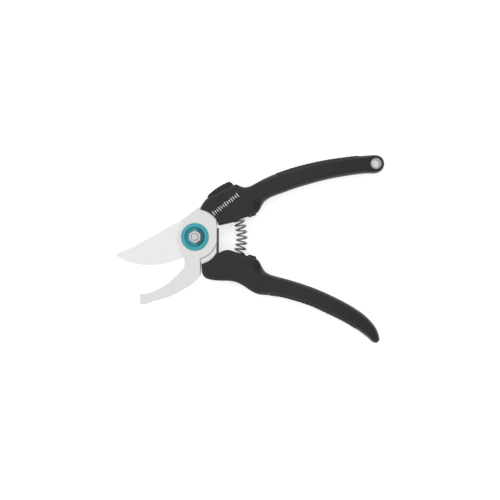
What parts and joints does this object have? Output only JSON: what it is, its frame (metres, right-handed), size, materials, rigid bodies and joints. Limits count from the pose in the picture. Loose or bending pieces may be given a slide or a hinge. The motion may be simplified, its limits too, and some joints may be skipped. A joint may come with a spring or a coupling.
{
  "type": "bypass pruner",
  "caption": "Hand-held bypass pruner with a convex cutting blade, a slender hook, a coloured pivot ring, a coil return spring, a thumb lock and dark two-shell handles.",
  "frame": {"origin": "centre of the flat end of the pivot bolt's head, on the plane the tool rests on", "axes": "+X from the pivot towards the grips, midway between the handle blocks; +Y the way the upper handle opens; +Z along the pivot axis, towards the coloured ring"},
  "size_m": [0.1937, 0.1355, 0.018],
  "materials": {
    "plate_steel": "satin, fine grinding lines",
    "bolt_steel": "bright zinc plated",
    "screw_steel": "blackened",
    "eyelet_steel": "nickel plated",
    "lock_steel": "satin",
    "spring_steel": "drawn wire",
    "washer_bronze": "satin",
    "ring_turquoise": "semi gloss",
    "handle_plastic": "fine spark texture",
    "button_plastic": "fine spark texture",
    "seat_plastic": "plain",
    "grip_rubber": "soft, matt",
    "buffer_rubber": "soft, matt"
  },
  "bodies": {
    "blade_half": {"cutting_blade": "plate_steel", "blade_washer": "washer_bronze", "lower_front_shell": "handle_plastic", "lower_rear_shell": "handle_plastic", "lower_shell_screws": "screw_steel", "lower_grip_pad": "grip_rubber", "lower_buffer": "buffer_rubber", "lower_spring_seat": "seat_plastic", "return_spring": "spring_steel"},
    "hook_half": {"hook_blade": "plate_steel", "pivot_bolt": "bolt_steel", "pivot_ring": "ring_turquoise", "pivot_nut": "bolt_steel", "upper_front_shell": "handle_plastic", "upper_rear_shell": "handle_plastic", "upper_shell_screws": "screw_steel", "upper_grip_pad": "grip_rubber", "upper_buffer": "buffer_rubber", "upper_spring_seat": "seat_plastic", "hanging_eyelet": "eyelet_steel", "lock_detent_spring": "spring_steel"},
    "lock_slide": {"lock_button": "button_plastic", "lock_bolt": "lock_steel", "lock_pin": "lock_steel"}
  },
  "joints": [
    {"name": "pivot", "type": "hinge", "parent": "blade_half", "child": "hook_half", "pos_m": [0, 0, 0.009], "axis": [0, 0, 1], "range_deg": [-37, 0], "stiffness_Nm_per_rad": 0.8, "springref_deg": 45.84, "deforming": ["return_spring"]},
    {"name": "lock_travel", "type": "slide", "parent": "hook_half", "child": "lock_slide", "axis": [-0.891, -0.454, 0], "range_m": [0, 0.004], "deforming": ["lock_detent_spring"]}
  ]
}
